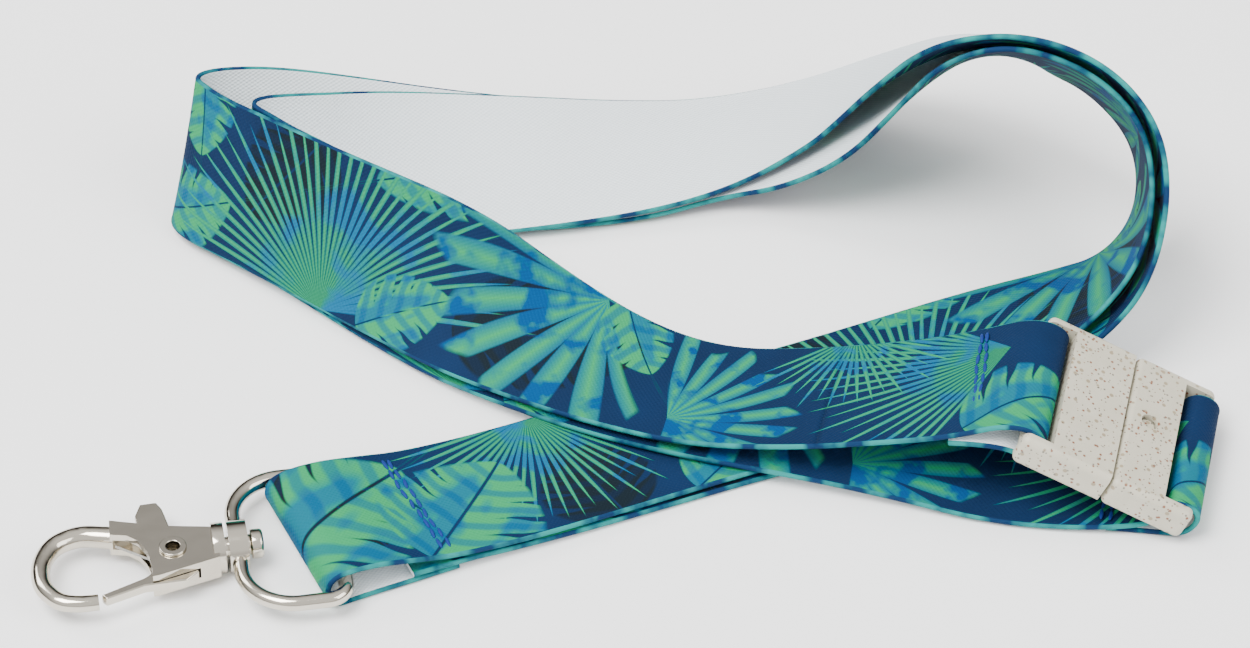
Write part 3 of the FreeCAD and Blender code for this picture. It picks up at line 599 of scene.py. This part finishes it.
# ---------------------------------------------------------------- stitching
def make_stitches(name, node, seam, material):
    """Two rows of plump stitches over a seam, each a little out of line and turned."""
    spot, bearing, slope, lean = seam
    across = across_vector(bearing, 0)
    ahead = Vector((across.y, -across.x, 0)).normalized()
    ahead = (ahead + Vector((0, 0, math.tan(math.radians(slope))))).normalized()
    across = (across - ahead * across.dot(ahead)).normalized()
    up = ahead.cross(across)
    size = Matrix.Diagonal((STITCH_LENGTH / 2, STITCH_WIDTH / 2, STITCH_HEIGHT / 2))
    shape = bmesh.new()
    for row in (-0.5, 0.5):
        for k in range(STITCHES_IN_A_ROW):
            along = (k - (STITCHES_IN_A_ROW - 1) / 2) * STITCH_PITCH
            sway = STITCH_SWAY * math.sin(5.1 * k + 3 * row)
            off_line = row * STITCH_ROW_GAP + sway + lean * along
            place = Vector(spot) * MM + across * along + ahead * off_line + up * (STRAP_THICK / 2)
            tilt = STITCH_TURN * math.sin(2.3 * k + row)
            length_way = across * math.cos(tilt) + ahead * math.sin(tilt)
            width_way = ahead * math.cos(tilt) - across * math.sin(tilt)
            axes = Matrix((length_way, width_way, up)).transposed()
            bmesh.ops.create_uvsphere(
                shape, u_segments=12, v_segments=8, radius=1.0,
                matrix=Matrix.Translation(place) @ (axes @ size).to_4x4(),
            )
    for face in shape.faces:
        face.smooth = True
    mesh = bpy.data.meshes.new(name)
    shape.to_mesh(mesh)
    shape.free()
    mesh.materials.append(material)
    stitches = bpy.data.objects.new(name, mesh)
    bpy.context.scene.collection.objects.link(stitches)
    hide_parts(node)
    return stitches


# ---------------------------------------------------------------- hard pieces
def finished_copy(node, body, name, material, edge_mm):
    """The CAD piece as a finished one: one skin, edges broken by edge_mm and smooth shading."""
    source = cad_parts[node]
    bpy.ops.object.select_all(action="DESELECT")
    piece = source.copy()
    piece.data = source.data.copy()
    piece.name = name
    piece.parent = None
    for key in list(piece.keys()):
        if key.startswith("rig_"):
            del piece[key]
    bpy.context.scene.collection.objects.link(piece)
    bpy.context.view_layer.objects.active = piece
    piece.select_set(True)
    bpy.ops.object.mode_set(mode="EDIT")
    bpy.ops.mesh.select_all(action="SELECT")
    bpy.ops.mesh.remove_doubles(threshold=SAME_POINT)
    bpy.ops.mesh.dissolve_limited(angle_limit=FLAT_ANGLE)
    bpy.ops.object.mode_set(mode="OBJECT")
    bevel = piece.modifiers.new("broken edges", "BEVEL")
    bevel.width = edge_mm * MM
    bevel.segments = 3
    bevel.limit_method = "ANGLE"
    bevel.angle_limit = BROKEN_ANGLE
    bevel.miter_outer = "MITER_ARC"
    bpy.ops.object.modifier_apply(modifier="broken edges")
    bpy.ops.object.shade_smooth_by_angle(angle=SMOOTH_ANGLE)
    weights = piece.modifiers.new("flat faces first", "WEIGHTED_NORMAL")
    weights.keep_sharp = True
    bpy.ops.object.modifier_apply(modifier="flat faces first")
    piece.data.materials.clear()
    piece.data.materials.append(material)
    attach(piece, body)
    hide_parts(node)


# ---------------------------------------------------------------- build
upper_print = printed_webbing("printed polyester webbing", 0.0)
lower_print = printed_webbing("printed polyester webbing, lower strap", 18.0)
back, selvedge, thread = white_webbing(), selvedge_webbing(), sewing_thread()
nickel, steel, plastic = nickel_plate(), spring_wire(), straw_plastic()
upper_finish = (upper_print, back, selvedge)
lower_finish = (lower_print, back, selvedge)

upper_lines, upper_run = strap_lines("upper", UPPER_ROUTE)
lower_lines, lower_run = strap_lines("lower", LOWER_ROUTE)
upper_end = len(upper_run) - 1
lower_end = len(lower_run) - 1
last_quarter = range(upper_end * 3 // 4, upper_end)
cut = next(i for i in last_quarter if upper_lines[1][i].x > PLUG_BLEND[0] - CUT_BEFORE_BLEND)
upper_strap = make_strap("upper_strap", upper_lines, upper_run, 0, cut, upper_finish)
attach(upper_strap, "root")
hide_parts("strap_upper")
upper_tail = make_strap("upper_strap_plug_end", upper_lines, upper_run, cut, upper_end, upper_finish)
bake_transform(upper_tail)
lower_strap = make_strap("lower_strap", lower_lines, lower_run, 0, lower_end, lower_finish)
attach(lower_strap, "root")
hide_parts("strap_lower")

ring_seam = make_stitches("ring_end_stitches", "stitching_ring_end", RING_SEAM, thread)
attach(ring_seam, "root")
socket_seam = make_stitches("socket_end_stitches", "stitching_socket_end", SOCKET_SEAM, thread)
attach(socket_seam, "root")
plug_seam = make_stitches("plug_end_stitches", "stitching_plug_end", PLUG_SEAM, thread)
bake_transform(plug_seam)

finished_copy("d_ring", "ring", "ring_with_boss", nickel, 0.15)
finished_copy("swivel_post", "hook", "post", nickel, 0.18)
finished_copy("hook_body", "hook", "lobster_hook", nickel, 0.22)
finished_copy("gate_lever", "lever", "gate_with_tab", nickel, 0.22)
finished_copy("gate_rivet", "hook", "eyelet_rivet", nickel, 0.1)
finished_copy("gate_spring", "hook", "torsion_spring", steel, 0.02)
finished_copy("buckle_plug", "plug", "plug_half", plastic, 0.45)
finished_copy("buckle_socket", "root", "socket_half", plastic, 0.45)


# ---------------------------------------------------------------- floor, light and camera
# Each light: name, place, size in metres and power in watts. All of them point at the origin.
LIGHTS = (
    ("key", (-0.45, -0.35, 1.1), 0.7, 27.0),
    ("fill", (0.9, -0.4, 0.8), 0.8, 9.0),
    ("side", (-0.9, 0.6, 0.9), 0.6, 8.0),
)


def studio():
    """A plain pale floor, soft light from above and a darker horizon for the metal to mirror."""
    bpy.ops.object.select_all(action="DESELECT")
    bpy.ops.mesh.primitive_plane_add(size=6, location=(0, 0, 0))
    floor = bpy.context.object
    floor.name = "floor"
    floor.data.materials.append(new_material("pale floor", "#FAFAFA", 0.9)[0])
    for name, place, size, power in LIGHTS:
        lamp = bpy.data.lights.new(name, "AREA")
        lamp.size = size
        lamp.energy = power
        holder = bpy.data.objects.new(name, lamp)
        bpy.context.scene.collection.objects.link(holder)
        holder.location = place
        holder.rotation_euler = (-Vector(place)).to_track_quat("-Z", "Y").to_euler()
    world = bpy.data.worlds.new("studio")
    bpy.context.scene.world = world
    world.use_nodes = True
    tree = world.node_tree
    sky = tree.nodes["Background"]
    way = add_node(tree, "SeparateXYZ", add_node(tree, "TexCoord").outputs["Generated"])
    # darkest at the horizon on the far side, white above
    height = add_node(tree, "Math", way.outputs[1], -0.45, way.outputs[2], operation="MULTIPLY_ADD")
    rise = add_node(tree, "ValToRGB", height)
    stops = rise.color_ramp.elements
    stops[0].position, stops[0].color = 0.0, rgb("#332D28")
    stops[1].position, stops[1].color = 0.75, rgb("#FFFFFF")
    tree.links.new(rise.outputs[0], sky.inputs["Color"])
    sky.inputs["Strength"].default_value = 1.25


def camera():
    """A long lens that looks along +Y and down at the lanyard."""
    lens = bpy.data.cameras.new("camera")
    lens.lens = LENS_MM
    lens.sensor_width = SENSOR_MM
    lens.clip_start = 0.01
    eye = bpy.data.objects.new("camera", lens)
    bpy.context.scene.collection.objects.link(eye)
    back_and_up = Vector((0, -math.cos(CAMERA_TILT), math.sin(CAMERA_TILT)))
    eye.location = Vector(CAMERA_AIM) * MM + back_and_up * CAMERA_DISTANCE
    eye.rotation_euler = (math.radians(90) - CAMERA_TILT, 0, 0)
    bpy.context.scene.camera = eye


studio()
camera()
